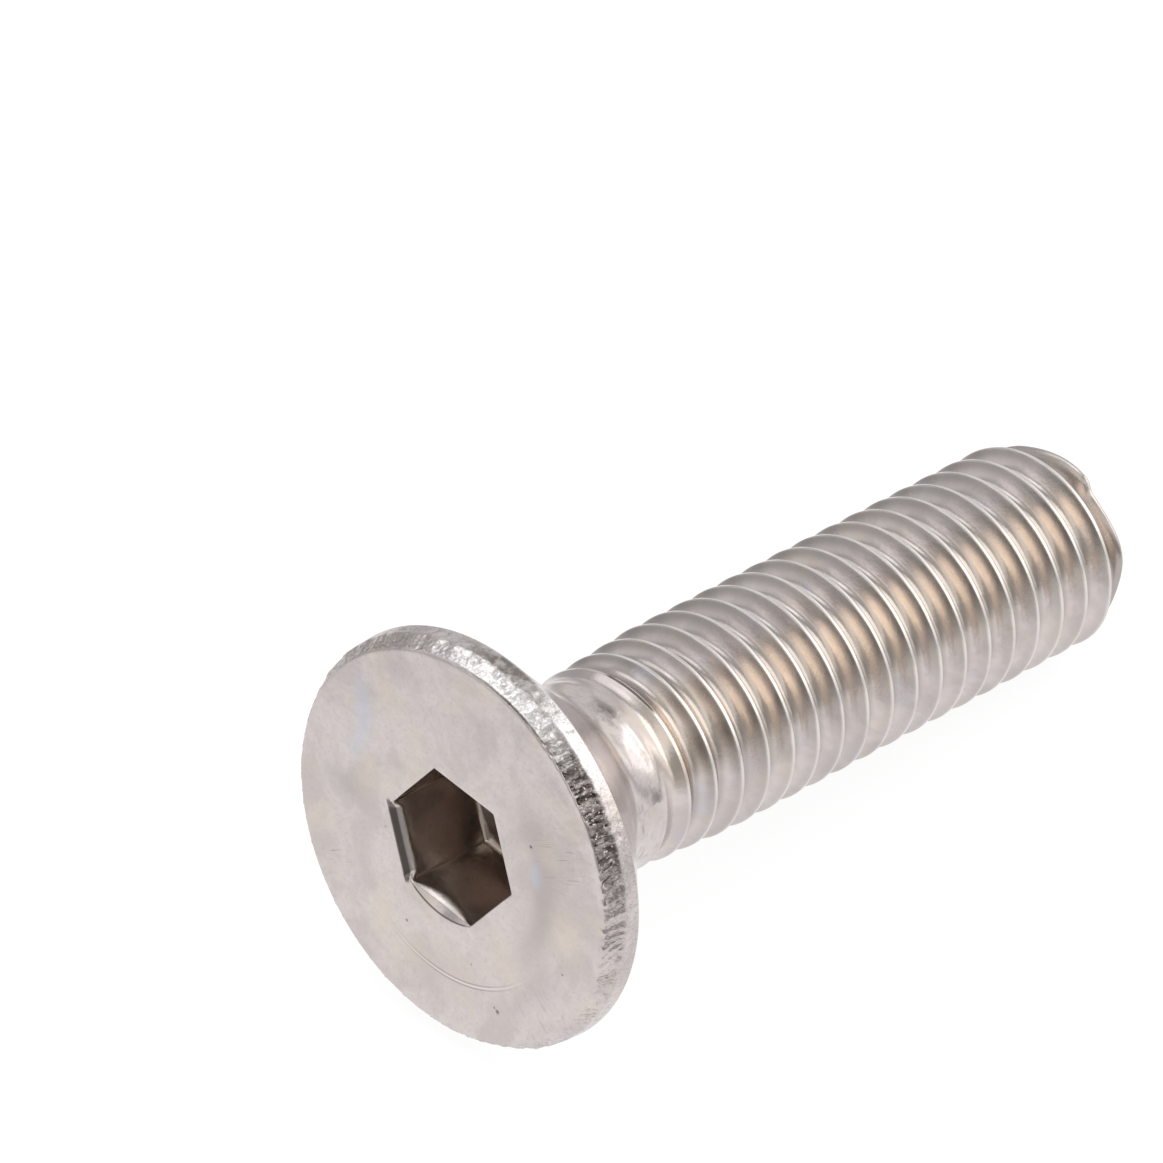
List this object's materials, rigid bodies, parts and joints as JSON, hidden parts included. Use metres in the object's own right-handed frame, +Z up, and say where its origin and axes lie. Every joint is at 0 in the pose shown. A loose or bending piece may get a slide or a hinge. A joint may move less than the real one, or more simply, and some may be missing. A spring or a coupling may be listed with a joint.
{
  "type": "countersunk hexagon socket screw",
  "caption": "Stainless countersunk screw with a flat head, a hexagon socket, a conical underside, a plain neck and a coarse right-hand thread.",
  "frame": {"origin": "on the surface it lies on, under the middle of its bounding box", "axes": "+Z up; +Y along the screw from head to tip; the screw's own axis falls about 8 degrees towards the tip"},
  "size_m": [0.0154, 0.0312, 0.0154],
  "materials": {
    "stainless_steel": "tumbled, satin to bright"
  },
  "bodies": {
    "root": {"screw": "stainless_steel"}
  },
  "joints": []
}
